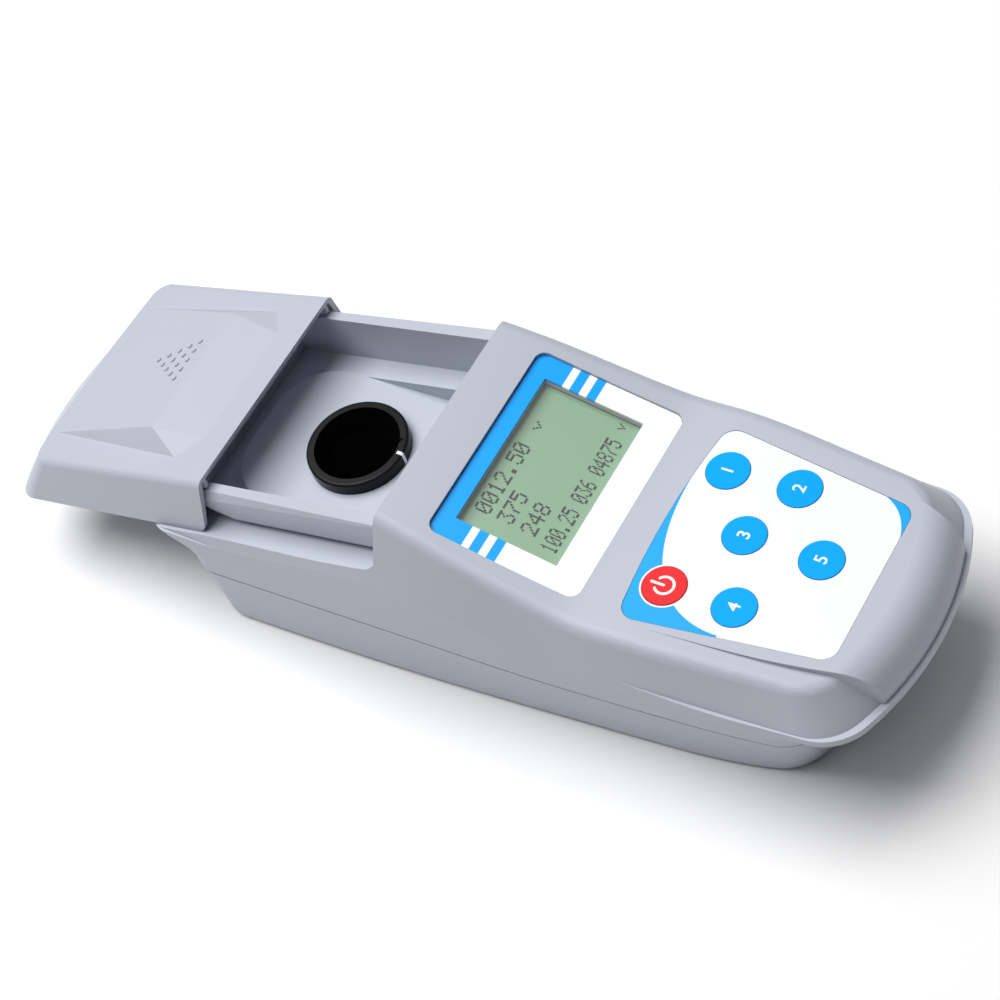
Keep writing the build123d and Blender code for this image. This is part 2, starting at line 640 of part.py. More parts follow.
with BuildPart() as upper_case:
    add(shoulder_body(0.0, 0.0, TOP_EDGE_R))
    add(case_band(0.0))
    add(tongue.part)
    add(plan_outline(LIP_Z, LIP_HALF, LIP_FRONT_Y, BELT_REAR_Y - 2))
    extrude(amount=LIP_H)
    # Lid space: everything above the ledges, whose outer edges stand up as curbs, then the pocket between the rails
    for reach, rise in ((60, CURB_H), (CURB_X, 0)):
        start_z = ledge_z(ridge_y(ledge_z(RIDGE_Y))) + rise
        start_y = ridge_y(start_z)
        with BuildPart(mode=Mode.PRIVATE) as lid_space:
            with BuildSketch(Plane.YZ.offset(-reach)) as profile:
                Polygon((start_y, start_z), (130, ledge_z(130) + rise), (130, 90), (ridge_y(90), 90), align=None)
                fillet(profile.vertices().sort_by_distance((start_y, start_z, 0))[0], GROOVE_CORNER_R)
            extrude(amount=2 * reach)
        add(lid_space.part, mode=Mode.SUBTRACT)
    deck_front = ridge_y(deck_z(RIDGE_Y))
    add(prism((
        (deck_front, deck_z(deck_front)), (DECK_END_Y, deck_z(DECK_END_Y)), (DECK_END_Y, 90), (ridge_y(90), 90),
    ), -RAIL_IN_X, RAIL_IN_X), mode=Mode.SUBTRACT)
    add(pad_block(BAND_TOP_Z - 2, PAD_Z))
    add(pad_block(PAD_Z, 60), mode=Mode.SUBTRACT)
    add(cavity.part, mode=Mode.SUBTRACT)
    # Rails, trimmed to the room inside the closed lid
    with BuildPart(mode=Mode.PRIVATE) as rails:
        rail_foot = -RAIL_FACE_H - SLOT_H - 2.5
        slot_start = ridge_y(ledge_z(RIDGE_Y)) + 0.5
        for solid in both_sides((
            (RIDGE_Y - 4, rail_z(RIDGE_Y - 4) + rail_foot), (RIDGE_Y - 4, rail_z(RIDGE_Y - 4)),
            (112, rail_z(112)), (112, rail_z(112) + rail_foot),
        ), RAIL_IN_X, RAIL_OUT_X):
            add(solid)
        for solid in both_sides((
            (slot_start, ledge_z(slot_start)), (slot_start, ledge_z(slot_start) + SLOT_H),
            (RAMP_Y, ledge_z(RAMP_Y) + SLOT_H), (RAMP_Y + RAMP_LENGTH, ledge_z(RAMP_Y + RAMP_LENGTH) + SLOT_H + RAMP_RISE),
            (130, ledge_z(130) + SLOT_H + RAMP_RISE), (130, ledge_z(130)),
        ), RAIL_OUT_X - SLOT_DEPTH, RAIL_OUT_X + 1):
            add(solid, mode=Mode.SUBTRACT)
        with BuildPart(mode=Mode.PRIVATE) as lid_room:
            add(lid_body(LID_WALL + 0.3, LID_WALL + 0.25, 60))
            extrude(lid_room.faces().filter_by(lambda f: f.normal_at().Z < -0.9).sort_by(Axis.Z)[0], amount=8)
        slide = (0, -LID_TRAVEL * cos(radians(RAIL_TILT)), LID_TRAVEL * sin(radians(RAIL_TILT)))
        add(Pos(*slide) * lid_room.part, mode=Mode.INTERSECT)
    add(rails.part)
    # Rim pocket at the seam
    with BuildPart(mode=Mode.PRIVATE) as rim_room:
        add(plan_outline(SEAM_Z, SEAM_HALF, SEAM_FRONT_Y, SEAM_REAR_Y, WALL - RIM_T - RIM_GAP))
        extrude(amount=RIM_H + RIM_GAP)
    add(rim_room.part, mode=Mode.SUBTRACT)
    # Screw bosses with seats for the threaded inserts
    for x, y in SCREW_POINTS:
        boss_top = deck_z(y) - DECK_T + 1 if y > 50 else BOSS_TOP_Z
        add(post(x, y, SEAM_Z, boss_top, BOSS_R))
        if abs(x) > BOSS_RIB_X and y < 50:
            edge = BOSS_RIB_END if x > 0 else -BOSS_RIB_END
            add(box(min(x, edge), max(x, edge), y - 1, y + 1, SEAM_Z + RIM_H + 1, boss_top))
        add(post(x, y, SEAM_Z - 1, SEAM_Z + INSERT_H, INSERT_R), mode=Mode.SUBTRACT)
        add(post(x, y, SEAM_Z, SEAM_Z + INSERT_H + 2.5, SCREW_HOLE_R), mode=Mode.SUBTRACT)
    # Display opening
    add(display_slab(
        2 * (PANEL_HALF + PANEL_GAP), PANEL_LENGTH + 2 * PANEL_GAP, -8, PANEL_T + 8, 0, PANEL_CORNER_R + PANEL_GAP,
    ), mode=Mode.SUBTRACT)
    add(display_slab(WINDOW_W, WINDOW_L, -1, 14, WINDOW_OFFSET), mode=Mode.SUBTRACT)
    add(display_slab(BEZEL_W + 0.3, BEZEL_L + 0.3, LCD_DEPTH - BEZEL_LIP_T, 14, WINDOW_OFFSET), mode=Mode.SUBTRACT)
    # Keypad recess and the slot for its tail
    recess_depth = KEYPAD_SINK + FILM_T + SPACER_T + CIRCUIT_T
    add(keypad_slab(keypad_shape(PANEL_GAP), -4, recess_depth + 4), mode=Mode.SUBTRACT)
    add(box(-TAIL_W / 2 - 0.5, TAIL_W / 2 + 0.5, -99.5, -97.9, 40, 60), mode=Mode.SUBTRACT)
    # Port hole through the pad
    add(post(0, PORT_Y, 30, PAD_Z + 1, SPIGOT_R + 0.1), mode=Mode.SUBTRACT)

# Sliding lid
with BuildPart() as sliding_lid:
    add(lid_body(0.0, 0.0, 0.0))
    top_edges = sliding_lid.faces().filter_by(
        lambda f: f.normal_at().Z > 0.9
    ).sort_by(Axis.Z)[-1].edges().filter_by(lambda e: e.position_at(0.5).Y > LID_FRONT_Y + 0.5)
    fillet(top_edges, LID_EDGE_R)
    foot_y = lid_front_y(ledge_z(LID_FRONT_Y))
    with BuildPart(mode=Mode.PRIVATE) as skirt:
        with BuildSketch(Plane.YZ.offset(-60)) as profile:
            Polygon(
                (lid_front_y(80), 80), (foot_y, ledge_z(foot_y) + LID_GAP), (200, ledge_z(200) + LID_GAP), (200, 80),
                align=None,
            )
            fillet(profile.vertices().sort_by_distance((foot_y, ledge_z(foot_y), 0))[0], LID_SKIRT_R)
        extrude(amount=120)
    add(skirt.part, mode=Mode.INTERSECT)
    add(lid_body(LID_WALL, LID_WALL, 8.0), mode=Mode.SUBTRACT)
    hook_base = foot_y + LID_SKIRT_R
    for solid in both_sides((
        (hook_base, ledge_z(hook_base) + LID_GAP), (hook_base, ledge_z(hook_base) + SLOT_H - LID_GAP),
        (hook_base + HOOK_LENGTH, ledge_z(hook_base + HOOK_LENGTH) + SLOT_H - LID_GAP),
        (hook_base + HOOK_LENGTH, ledge_z(hook_base + HOOK_LENGTH) + LID_GAP),
    ), HOOK_IN_X, LID_FOOT_HALF - 1.0):
        add(solid)
    glide_end = LID_FRONT_Y + GLIDE_LENGTH
    roof_slope = tan(radians(LID_TOP_TILT))
    for solid in both_sides((
        (LID_FRONT_Y + 0.5, rail_z(LID_FRONT_Y + 0.5) + LID_GAP), (LID_FRONT_Y + 0.5, LID_FRONT_Z - 1.2),
        (glide_end, LID_FRONT_Z - 1.2 - roof_slope * GLIDE_LENGTH), (glide_end, rail_z(glide_end) + LID_GAP),
    ), GLIDE_X - GLIDE_W / 2, GLIDE_X + GLIDE_W / 2):
        add(solid)
    for solid in lid_wedge():
        add(solid)
    for dot in lid_dots():
        add(dot)

# Vial port and optical block
with BuildPart() as port_ring:
    add(post(0, PORT_Y, PAD_Z, COLLAR_TOP_Z, COLLAR_R))
    fillet(port_ring.faces().sort_by(Axis.Z)[-1].edges(), COLLAR_EDGE_R)
    add(post(0, PORT_Y, SPIGOT_Z, PAD_Z, SPIGOT_R))
    add(post(0, PORT_Y, 0, 60, BORE_R), mode=Mode.SUBTRACT)
    for x, y in NOTCHES:
        add(box(x - 0.7, x + 0.7, y - 0.9, y + 0.9, COLLAR_TOP_Z - 0.8, COLLAR_TOP_Z + 1), mode=Mode.SUBTRACT)

with BuildPart() as sample_chamber:
    add(post(0, PORT_Y, CHAMBER_BASE_Z, SPIGOT_Z, CHAMBER_R))
    add(post(0, PORT_Y, CHAMBER_BASE_Z, CHAMBER_BASE_Z + CHAMBER_FOOT_H, CHAMBER_FOOT_R))
    for dx, dy in ((0, -1), (0, 1), (1, 0)):
        add(box(
            min(dx * HOLDER_OUT, -HOLDER_HALF if dy else 0), max(dx * HOLDER_OUT, HOLDER_HALF if dy else 0),
            PORT_Y + min(dy * HOLDER_OUT, -HOLDER_HALF if dx else 0), PORT_Y + max(dy * HOLDER_OUT, HOLDER_HALF if dx else 0),
            BEAM_Z - HOLDER_HALF, BEAM_Z + HOLDER_HALF,
        ))
    add(post(0, PORT_Y, CHAMBER_FLOOR_Z, 60, BORE_R), mode=Mode.SUBTRACT)
    beam_end = BORE_R + 5.5
    for angle in (0, 90, -90):
        turn = Pos(0, PORT_Y, BEAM_Z) * Rot(0, 0, angle) * Rot(0, 90, 0)
        add(turn * Solid.make_cylinder(BEAM_R, HOLDER_OUT + 1), mode=Mode.SUBTRACT)
        add(turn * Pos(0, 0, beam_end) * Solid.make_cylinder(POCKET_R, HOLDER_OUT), mode=Mode.SUBTRACT)
    for dx, dy in ((1, 1), (-1, 1), (1, -1), (-1, -1)):
        reach = (CHAMBER_R + CHAMBER_FOOT_R) / 2 * 0.7071
        add(post(dx * reach, PORT_Y + dy * reach, 0, CHAMBER_BASE_Z + CHAMBER_FOOT_H + 1, 1.1), mode=Mode.SUBTRACT)


def optic(angle, start, parts):
    """round pieces along one arm of the optical block, as (radius, length) from the start radius outwards"""
    turn = Pos(0, PORT_Y, BEAM_Z) * Rot(0, 0, angle) * Rot(0, 90, 0)
    pieces = []
    for radius, length in parts:
        pieces.append(turn * Pos(0, 0, start) * Solid.make_cylinder(radius, length))
        start += length
    return pieces


with BuildPart() as source_lens:
    for solid in optic(-90, beam_end + 0.1, ((POCKET_R - 0.05, 1.8),)):
        add(solid)

with BuildPart() as light_source:
    for solid in optic(-90, beam_end + 2.6, ((2.5, 4.4), (POCKET_R - 0.1, 1.0), (0.3, 6.0))):
        add(solid)

with BuildPart() as scatter_detector:
    for solid in optic(0, beam_end + 0.1, ((2.4, 3.4), (POCKET_R - 0.05, 1.2), (0.3, 6.0))):
        add(solid)

with BuildPart() as transmitted_detector:
    for solid in optic(90, beam_end + 0.1, ((2.4, 3.4), (POCKET_R - 0.05, 1.2), (0.3, 6.0))):
        add(solid)

# Display stack
with BuildPart() as display_overlay:
    add(display_slab(2 * PANEL_HALF, PANEL_LENGTH, 0, PANEL_T, 0, PANEL_CORNER_R))
    add(display_slab(WINDOW_W, WINDOW_L, -1, PANEL_T + 2, WINDOW_OFFSET), mode=Mode.SUBTRACT)

with BuildPart() as display_window:
    add(display_slab(WINDOW_W - 0.1, WINDOW_L - 0.1, 0.15, WINDOW_T, WINDOW_OFFSET))

with BuildPart() as lcd_bezel:
    add(display_slab(BEZEL_W, BEZEL_L, LCD_DEPTH - BEZEL_LIP_T, BEZEL_T, WINDOW_OFFSET))
    add(display_slab(WINDOW_W, WINDOW_L, 0, 8, WINDOW_OFFSET), mode=Mode.SUBTRACT)
    add(display_slab(
        BEZEL_W - 2 * BEZEL_WALL, BEZEL_L - 2 * BEZEL_WALL, LCD_DEPTH, 8, WINDOW_OFFSET,
    ), mode=Mode.SUBTRACT)

with BuildPart() as lcd_glass:
    add(display_slab(BEZEL_W - 2 * BEZEL_WALL - 0.2, BEZEL_L - 2 * BEZEL_WALL - 0.2, LCD_DEPTH + 0.02, LCD_T, WINDOW_OFFSET))

with BuildPart() as backlight:
    add(display_slab(
        BEZEL_W - 2 * BEZEL_WALL - 0.4, BEZEL_L - 2 * BEZEL_WALL - 0.4, LCD_DEPTH + LCD_T + 0.04, LIGHT_GUIDE_T, WINDOW_OFFSET,
    ))

board_depth = LCD_DEPTH - BEZEL_LIP_T + BEZEL_T + 0.02
with BuildPart() as lcd_board:
    add(display_slab(LCD_BOARD_W, LCD_BOARD_L, board_depth, LCD_BOARD_T, WINDOW_OFFSET - 1))
    add(display_slab(9.0, 7.0, board_depth + LCD_BOARD_T, 1.1, -8))
    add(display_slab(14.0, 3.6, board_depth + LCD_BOARD_T, 2.2, -16.2))

# Keypad stack, from the film down to the printed circuit
with BuildPart() as keypad_overlay:
    add(keypad_slab(keypad_shape(0.0), KEYPAD_SINK, FILM_T))
    add(keypad_slab(key_holes(KEY_R + KEY_GAP), -1, 3), mode=Mode.SUBTRACT)

with BuildPart() as keypad_spacer:
    add(keypad_slab(keypad_shape(-0.1), KEYPAD_SINK + FILM_T, SPACER_T))
    add(keypad_slab(key_holes(KEY_R + KEY_GAP), -1, 6), mode=Mode.SUBTRACT)

circuit_top = KEYPAD_SINK + FILM_T + SPACER_T
with BuildPart() as membrane_circuit:
    add(keypad_slab(keypad_shape(-0.1), circuit_top, CIRCUIT_T))
    add(box(-TAIL_W / 2, TAIL_W / 2, -98.8, -98.6, 41, tongue_z(-98.7) - circuit_top - 0.1))

key_parts = {}
for key_name in KEYS:
    with BuildPart() as key_part:
        with BuildSketch(key_at(key_name).offset(-circuit_top + DOME_H + 0.02)):
            Circle(KEY_R)
        extrude(amount=circuit_top - DOME_H - 0.02 + KEY_HEAD)
        fillet(key_part.faces().sort_by(Axis.Z)[-1].edges(), 0.12)
    key_parts[key_name] = key_part.part

with BuildPart() as dome_switches:
    for key_name in KEYS:
        with BuildSketch(key_at(key_name).offset(-circuit_top)):
            Circle(DOME_R)
        extrude(amount=DOME_H, taper=60)

# Battery cover, cells, springs and contact plates
cover_half, cover_rear = BAY_HALF - COVER_GAP, BAY_REAR_Y - COVER_GAP
with BuildPart() as battery_cover:
    add(box(-cover_half, cover_half, HINGE_Y, cover_rear, 0, COVER_T))
    add(axle(-cover_half, cover_half, HINGE_Y, HINGE_Z, HINGE_R))
    add(axle(-cover_half - PIN_L, cover_half + PIN_L, HINGE_Y, HINGE_Z, PIN_R))
    add(box(-LATCH_W / 2, LATCH_W / 2, cover_rear - 0.5, cover_rear + LATCH_T, 0, LATCH_H))
    add(box(-LATCH_W / 2, LATCH_W / 2, cover_rear + LATCH_T - 0.2, cover_rear + LATCH_T + 1.2, 0, COVER_T))

with BuildPart() as battery_cells:
    for i, slot in enumerate(CELL_X):
        towards_rear = 1 if i % 2 else -1
        nub_end = (BAY_REAR_Y - PLATE_T - DIMPLE_H) if towards_rear > 0 else (BAY_FRONT_Y + PLATE_T + DIMPLE_H)
        nub_end -= towards_rear * 0.05
        body_end = nub_end - towards_rear * CELL_NUB_L
        add(rod(slot * CELL_PITCH, nub_end, body_end - towards_rear, CELL_Z, CELL_NUB_R))
        add(rod(slot * CELL_PITCH, body_end, body_end - towards_rear * CELL_BODY_L, CELL_Z, CELL_R))

with BuildPart() as battery_contacts:
    for slot in CELL_X:
        for y, way in ((BAY_FRONT_Y, 1), (BAY_REAR_Y, -1)):
            near, far = sorted((y + way * 0.02, y + way * PLATE_T))
            mid = slot * CELL_PITCH
            add(box(mid - PLATE_W / 2, mid + PLATE_W / 2, near, far, CELL_Z - PLATE_W / 2, CELL_Z + PLATE_W / 2))
    for i, slot in enumerate(CELL_X):
        y, way = (BAY_REAR_Y, -1) if i % 2 else (BAY_FRONT_Y, 1)
        add(rod(slot * CELL_PITCH, y + way * PLATE_T / 2, y + way * (PLATE_T + DIMPLE_H), CELL_Z, DIMPLE_R))

spring_l = (BAY_REAR_Y - BAY_FRONT_Y) - 2 * PLATE_T - DIMPLE_H - CELL_BODY_L - CELL_NUB_L - 0.25
with BuildPart() as battery_springs:
    for i, slot in enumerate(CELL_X):
        y, way = (BAY_FRONT_Y, 1) if i % 2 else (BAY_REAR_Y, -1)
        start = y + way * (PLATE_T + 0.07 + SPRING_WIRE_R)
        coil_l = spring_l - 2 * SPRING_WIRE_R
        helix = Helix(pitch=coil_l / SPRING_TURNS, height=coil_l, radius=SPRING_R)
        with BuildPart(mode=Mode.PRIVATE) as coil:
            with BuildLine():
                add(helix)
            with BuildSketch(Plane(origin=helix @ 0, z_dir=helix % 0)):
                Circle(SPRING_WIRE_R)
            sweep()
        add(Pos(slot * CELL_PITCH, start, CELL_Z) * Rot(-90 * way, 0, 0) * coil.part)

# Boards and what is soldered on them
with BuildPart() as main_board:
    add(box(-MAIN_HALF, MAIN_HALF, MAIN_FRONT_Y, MAIN_REAR_Y, MAIN_Z, MAIN_Z + BOARD_T))
    for x, y in MAIN_POSTS:
        add(post(x, y, MAIN_Z - 1, MAIN_Z + 4, 1.2), mode=Mode.SUBTRACT)

board_top = MAIN_Z + BOARD_T
with BuildPart() as board_components:
    add(box(-8, 6, -46, -32, board_top, board_top + 1.6))
    add(box(12, 22, -50, -42, board_top, board_top + 1.4))
    add(box(-24, -14, -54, -46, board_top, board_top + 1.4))
    add(box(-9, 9, 1, 6, board_top, board_top + 3.2))
    add(box(-8, 8, -70, -65, board_top, board_top + 3.2))
    for x, y in ((18, -12), (-20, -10), (-16, -64)):
        add(post(x, y, board_top, board_top + 7, 3.2))

with BuildPart() as buzzer:
    add(post(20, -62, board_top, board_top + 5.5, 6.0))
    add(post(20, -62, board_top + 4, board_top + 6, 1.0), mode=Mode.SUBTRACT)

with BuildPart() as optics_board:
    add(box(-OPTICS_HALF, OPTICS_HALF, OPTICS_FRONT_Y, OPTICS_REAR_Y, OPTICS_Z, OPTICS_Z + BOARD_T))
    for x, y in OPTICS_POSTS:
        add(post(x, y, OPTICS_Z - 1, OPTICS_Z + 4, 1.2), mode=Mode.SUBTRACT)
    add(box(-6, 6, 0, 10, OPTICS_Z + BOARD_T, OPTICS_Z + BOARD_T + 1.6))
    add(box(12, 20, 4, 11, OPTICS_Z + BOARD_T, OPTICS_Z + BOARD_T + 1.4))

# Ribbon cables: display to main board, main board to optics board
board_point = DISPLAY.from_local_coords(Vector(0, -16.2, -board_depth - LCD_BOARD_T - 2.2))
with BuildPart() as display_cable:
    with BuildSketch(Plane.YZ.offset(-6)):
        with BuildLine():
            ribbon = Polyline(
                (board_point.Y, board_point.Z - 0.35), (board_point.Y + 1.0, board_point.Z - 5),
                (1.6, board_top + 9), (3.5, board_top + 3.5),
            )
            offset(ribbon, amount=0.2)
        make_face()
    extrude(amount=12)

with BuildPart() as optics_cable:
    with BuildSketch(Plane.YZ.offset(-14)):
        with BuildLine():
            ribbon = Polyline((5, MAIN_Z - 0.25), (11.2, MAIN_Z - 0.25), (14.5, OPTICS_Z + 9), (14.5, OPTICS_Z + BOARD_T + 0.25))
            offset(ribbon, amount=0.2)
        make_face()
    extrude(amount=6)

# Screws, inserts and feet
with BuildPart() as case_screws:
    for x, y in SCREW_POINTS:
        add(post(x, y, SCREW_SEAT_Z - SCREW_HEAD_H, SCREW_SEAT_Z - 0.02, SCREW_HEAD_R))
        add(post(x, y, SCREW_SEAT_Z - 0.5, SCREW_SEAT_Z + SCREW_L, SCREW_R))
        add(box(x - 1.6, x + 1.6, y - 0.35, y + 0.35, SCREW_SEAT_Z - 3, SCREW_SEAT_Z - SCREW_HEAD_H + 1), mode=Mode.SUBTRACT)
        add(box(x - 0.35, x + 0.35, y - 1.6, y + 1.6, SCREW_SEAT_Z - 3, SCREW_SEAT_Z - SCREW_HEAD_H + 1), mode=Mode.SUBTRACT)

with BuildPart() as thread_inserts:
    for x, y in SCREW_POINTS:
        add(post(x, y, SEAM_Z + 0.1, SEAM_Z + INSERT_H, INSERT_R))
        add(post(x, y, SEAM_Z - 1, SEAM_Z + INSERT_H + 1, SCREW_R + 0.03), mode=Mode.SUBTRACT)

with BuildPart() as board_screws:
    for points, top in ((MAIN_POSTS, board_top), (OPTICS_POSTS, OPTICS_Z + BOARD_T)):
        for x, y in points:
            add(post(x, y, top + 0.02, top + PCB_SCREW_HEAD_H, PCB_SCREW_HEAD_R))
            add(post(x, y, top + 0.5 - PCB_SCREW_L, top + 0.5, POST_BORE_R - 0.03))

with BuildPart() as rubber_feet:
    for x, y in FEET:
        add(post(x, y, -FOOT_PROUD, FOOT_SINK - 0.02, FOOT_R))

os.makedirs("parts", exist_ok=True)
pieces = {
    "lower_case": lower_case.part,
    "upper_case": upper_case.part,
    "sliding_lid": sliding_lid.part,
    "port_ring": port_ring.part,
    "sample_chamber": sample_chamber.part,
    "source_lens": source_lens.part,
    "light_source": light_source.part,
    "scatter_detector": scatter_detector.part,
    "transmitted_detector": transmitted_detector.part,
    "display_overlay": display_overlay.part,
    "display_window": display_window.part,
    "lcd_bezel": lcd_bezel.part,
    "lcd_glass": lcd_glass.part,
    "backlight": backlight.part,
    "lcd_board": lcd_board.part,
    "keypad_overlay": keypad_overlay.part,
    "keypad_spacer": keypad_spacer.part,
    "membrane_circuit": membrane_circuit.part,
    "dome_switches": dome_switches.part,
    "battery_cover": battery_cover.part,
    "battery_cells": battery_cells.part,
    "battery_contacts": battery_contacts.part,
    "battery_springs": battery_springs.part,
    "main_board": main_board.part,
    "board_components": board_components.part,
    "buzzer": buzzer.part,
    "optics_board": optics_board.part,
    "display_cable": display_cable.part,
    "optics_cable": optics_cable.part,
    "case_screws": case_screws.part,
    "thread_inserts": thread_inserts.part,
    "board_screws": board_screws.part,
    "rubber_feet": rubber_feet.part,
}
pieces.update(key_parts)
for name, piece in pieces.items():
    piece.label = name
    export_step(piece, "parts/" + name + ".step")
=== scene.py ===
import math

import bpy
from mathutils import Matrix, Vector


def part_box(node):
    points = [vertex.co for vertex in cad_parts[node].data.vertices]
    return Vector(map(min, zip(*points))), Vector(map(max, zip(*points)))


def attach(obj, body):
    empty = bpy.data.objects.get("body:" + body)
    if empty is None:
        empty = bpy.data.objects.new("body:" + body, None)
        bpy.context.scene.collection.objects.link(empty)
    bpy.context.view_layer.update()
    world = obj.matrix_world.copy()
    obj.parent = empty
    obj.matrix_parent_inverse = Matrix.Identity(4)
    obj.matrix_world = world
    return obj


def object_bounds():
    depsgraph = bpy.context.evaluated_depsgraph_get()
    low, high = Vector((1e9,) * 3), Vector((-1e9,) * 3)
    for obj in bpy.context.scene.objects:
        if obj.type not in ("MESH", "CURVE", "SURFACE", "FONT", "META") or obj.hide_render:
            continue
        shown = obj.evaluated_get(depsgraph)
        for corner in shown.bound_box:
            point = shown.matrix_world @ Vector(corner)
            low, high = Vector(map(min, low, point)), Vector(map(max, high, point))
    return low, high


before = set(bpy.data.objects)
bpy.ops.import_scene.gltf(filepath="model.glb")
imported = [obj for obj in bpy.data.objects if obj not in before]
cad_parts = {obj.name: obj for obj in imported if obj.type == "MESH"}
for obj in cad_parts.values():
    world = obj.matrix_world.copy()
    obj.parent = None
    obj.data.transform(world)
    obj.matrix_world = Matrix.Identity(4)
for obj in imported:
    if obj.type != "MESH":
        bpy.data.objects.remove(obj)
cad_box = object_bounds()

# Lengths are in millimetres, and the places of camera, lamp and meshes in metres
MM = 0.001

# Camera fitted to the photograph, placed in metres
CAMERA_AT = Vector((-0.3164, -0.34408, 0.60259))
CAMERA_RIGHT = Vector((0.4837, -0.8356, -0.2603))
CAMERA_UP = Vector((0.7644, 0.2585, 0.5907))
SENSOR = 36.0
LENS = 96.79
NEAREST_M = 0.01

# Large lamp overhead, placed in metres, and a sky that is dark at the horizon and in front
LAMP_AT = Vector((-0.04, 0.50, 1.42))
LAMP_AIM = Vector((0.0, 0.03, 0.03))
LAMP_SIZE_M = 1.3
LAMP_POWER = 27.0
SKY_DARK_BELOW = 0.35
SKY_STRENGTH = 0.62
SKY_FRONT = (-0.9, 0.1)
SKY_FRONT_SHARE = 0.10
FLOOR_SIZE_M = 12.0

# Planes that the prints lie on
PANEL_AT = Vector((0.0, -9.65, 58.7)) * MM
PANEL_TILT = 16.4
KEYPAD_TILT = 2.4

# Prints
PANEL_FIELD_Y = 1.7
PANEL_STRIPES = ((-3.15, -0.4), (-7.95, -5.35))
KEY_FIELD_CORNERS = (
    ((15.0, -71.0), (-43.1, 28.8), 2.3),
    ((5.0, -80.0), (22.6, -22.3), 2.8),
)
KEY_FIELD_BLUR = 0.004
KEY_RING_R = 6.65
PRINT_T = 0.03
INDEX_AT = (0.9, 47.5)
INDEX_HALF = (0.5, 1.0)
# Painted shade in the joint between the shells: its height, half width and blur
SEAM_Z = 22.0
SEAM_SHADE_HALF = 0.22
SEAM_SHADE_BLUR = 0.2

# Display, as glyphs seven dots high on the window: text, left, top, pitch of the glyphs
DOT_RISE = 0.70
DOT_FILL = 0.98
DOT_CUT = 0.15
GLYPH_COLUMNS = 5
GLYPH_PITCH_DOTS = 6
DISPLAY_LINES = (
    ("0012.50", 4.7, 2.35, 3.45),
    ("375", 4.9, 9.1, 3.45),
    ("248", 4.7, 16.1, 3.45),
    ("100.25 036 04875", 2.6, 23.3, 2.42),
    ("v", 33.6, 2.35, 3.45),
    ("v", 44.4, 22.3, 2.42),
)
GLYPHS = {
    "0": (14, 17, 19, 21, 25, 17, 14),
    "1": (4, 12, 4, 4, 4, 4, 14),
    "2": (14, 17, 1, 2, 4, 8, 31),
    "3": (31, 2, 4, 2, 1, 17, 14),
    "4": (2, 6, 10, 18, 31, 2, 2),
    "5": (31, 16, 30, 1, 1, 17, 14),
    "6": (6, 8, 16, 30, 17, 17, 14),
    "7": (31, 1, 2, 4, 8, 8, 8),
    "8": (14, 17, 17, 14, 17, 17, 14),
    "9": (14, 17, 17, 15, 1, 2, 12),
    ".": (0, 0, 0, 0, 0, 12, 12),
    "v": (0, 0, 0, 17, 10, 4, 0),
    " ": (0, 0, 0, 0, 0, 0, 0),
}
KEY_DIGITS = {
    "query_key": "1",
    "menu_key": "2",
    "switch_key": "3",
    "enter_key": "4",
    "store_key": "5",
}
DIGIT_SIZE = 5.0
DIGIT_SWELL = 0.06

# Power symbol: radius of the ring, half width of its lines, half the gap in degrees, bar
SYMBOL_R = 2.6
SYMBOL_HALF = 0.38
SYMBOL_GAP = 38.0
SYMBOL_STEPS = 32
SYMBOL_BAR = (0.2, 3.7)
SYMBOL_ROUND = 0.98
SYMBOL_ROUND_STEPS = 3


def srgb(red, green, blue):
    """linear colour of an 8-bit one"""
    linear = []
    for share in (red / 255, green / 255, blue / 255):
        linear.append(share / 12.92 if share < 0.04045 else ((share + 0.055) / 1.055) ** 2.4)
    return (*linear, 1.0)


CASE_LIGHT = srgb(184, 189, 200)
CASE_DARK = srgb(179, 184, 196)
# colour of the painted shade in the joint between the shells
SEAM_SHADE = srgb(70, 73, 80)
BLUE = srgb(2, 172, 255)
BLUE_DEEP = srgb(0, 160, 250)
FILM_WHITE = srgb(240, 241, 246)
FILM_WHITE_LOW = srgb(235, 237, 242)
PANEL_WHITE = srgb(254, 254, 255)
PANEL_WHITE_LOW = srgb(250, 251, 254)
RED = srgb(236, 20, 30)
RED_DEEP = srgb(222, 12, 22)
PAPER = (0.91, 0.91, 0.91, 1.0)
PAPER_LOW = (0.90, 0.90, 0.902, 1.0)
GLASS = (0.9, 0.95, 1.0, 1.0)
GLASS_LOW = (0.88, 0.93, 1.0, 1.0)
CLEAR = (1.0, 1.0, 1.0, 1.0)
CLEAR_LOW = (0.98, 1.0, 0.99, 1.0)


